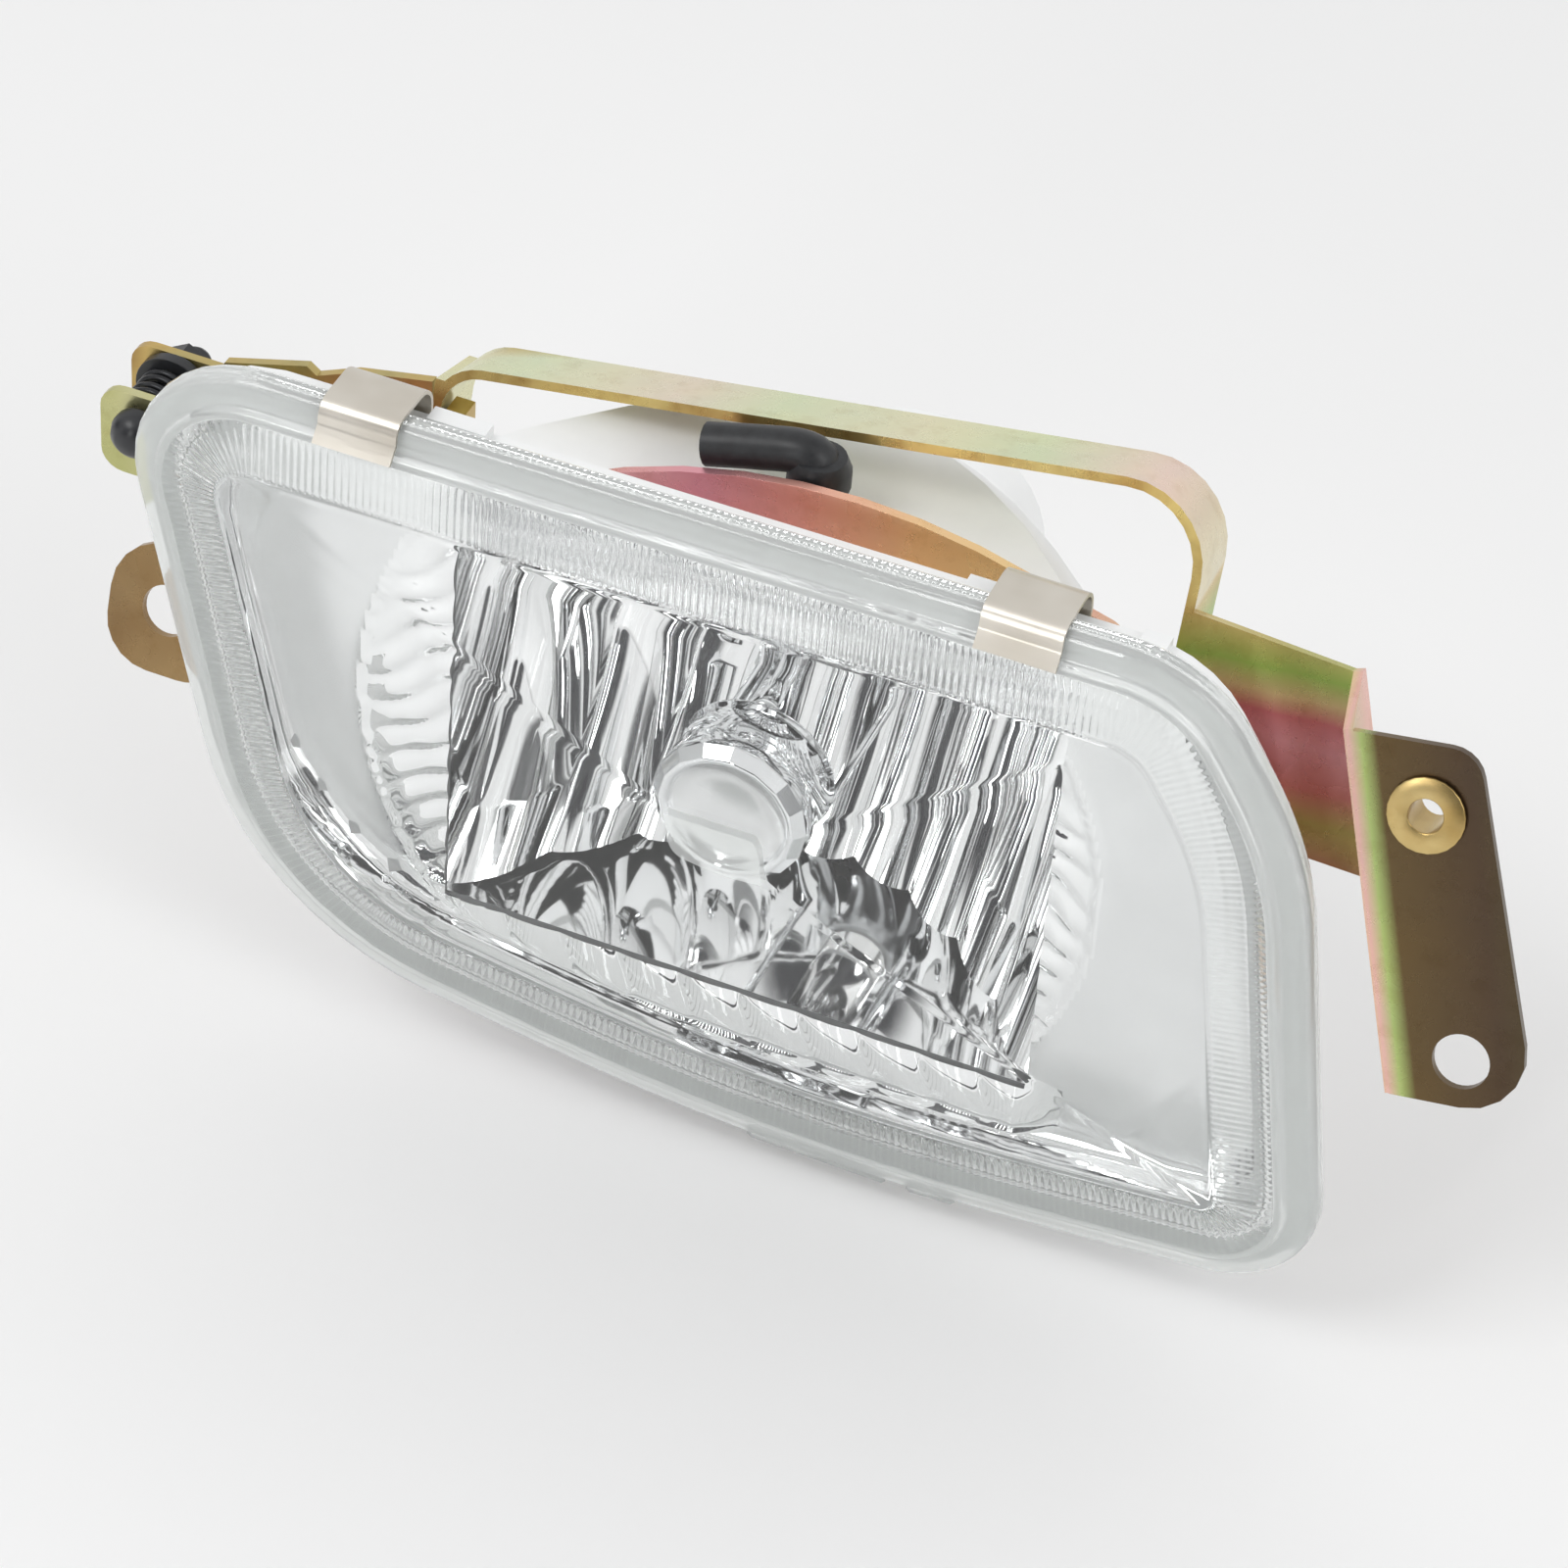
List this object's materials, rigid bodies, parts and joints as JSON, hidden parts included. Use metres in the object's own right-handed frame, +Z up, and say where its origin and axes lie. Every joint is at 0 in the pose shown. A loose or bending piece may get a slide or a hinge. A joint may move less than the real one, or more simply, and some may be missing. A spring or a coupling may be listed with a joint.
{
  "type": "fog light",
  "caption": "Front fog light: fluted glass lens on a metallised reflector housing, held in a tilting sheet-steel bracket with one spring-loaded aiming screw.",
  "frame": {"origin": "on the rear face of the bracket's bolt tab, between its clinch nut and its bolt hole", "axes": "+X to the right seen from the front, +Y into the lamp, square to the lens plane, +Z up along the lens plane"},
  "size_m": [0.2253, 0.0909, 0.1193],
  "materials": {
    "clear_glass": "clear, very slightly green",
    "white_plastic": "moulded, metallised inside the bowl",
    "black_plastic": "satin",
    "black_rubber": "soft matt",
    "pale_silicone": "soft, pale grey",
    "satin_nickel": "satin nickel",
    "bare_steel": "satin",
    "chrome_plate": "bright",
    "yellow_zinc": "yellow chromated zinc, iridescent"
  },
  "bodies": {
    "bracket": {"mounting_bracket": "yellow_zinc", "clinch_nut": "yellow_zinc", "pivot_pin_left": "bare_steel", "pivot_pin_right": "bare_steel", "adjuster_arm": "yellow_zinc", "arm_weld": "yellow_zinc", "adjuster_washer": "black_plastic", "adjuster_nut": "black_plastic", "adjuster_spring": "bare_steel"},
    "lamp": {"lens": "clear_glass", "lens_seal": "pale_silicone", "reflector_housing": "white_plastic", "lens_clip_left": "satin_nickel", "lens_clip_right": "satin_nickel", "bulb_base": "bare_steel", "bulb_glass": "clear_glass", "bulb_retainer": "satin_nickel", "bulb_shield": "chrome_plate", "rear_cap": "white_plastic", "rear_cap_seal": "black_rubber", "cable_grommet": "black_rubber", "vent_elbow": "black_rubber", "lamp_carrier": "yellow_zinc", "carrier_screw_1": "bare_steel", "carrier_screw_2": "bare_steel", "carrier_screw_3": "bare_steel", "carrier_screw_4": "bare_steel", "pivot_bush_left": "white_plastic", "pivot_bush_right": "white_plastic"},
    "adjuster": {"adjuster_screw": "black_plastic"}
  },
  "joints": [
    {"name": "lamp_aim", "type": "hinge", "parent": "bracket", "child": "lamp", "pos_m": [-0.1021, 0.01469, -0.01529], "axis": [1, 0, 0], "range_deg": [-2.5, 2.5], "deforming": ["adjuster_spring"]},
    {"name": "adjuster_turn", "type": "hinge", "parent": "lamp", "child": "adjuster", "pos_m": [-0.201, 0.01469, 0.01111], "axis": [0, 1, 0], "range_deg": [-520, 520]}
  ],
  "couplings": [
    {"joint": "adjuster_turn", "follows": "lamp_aim", "ratio": -207.34}
  ]
}
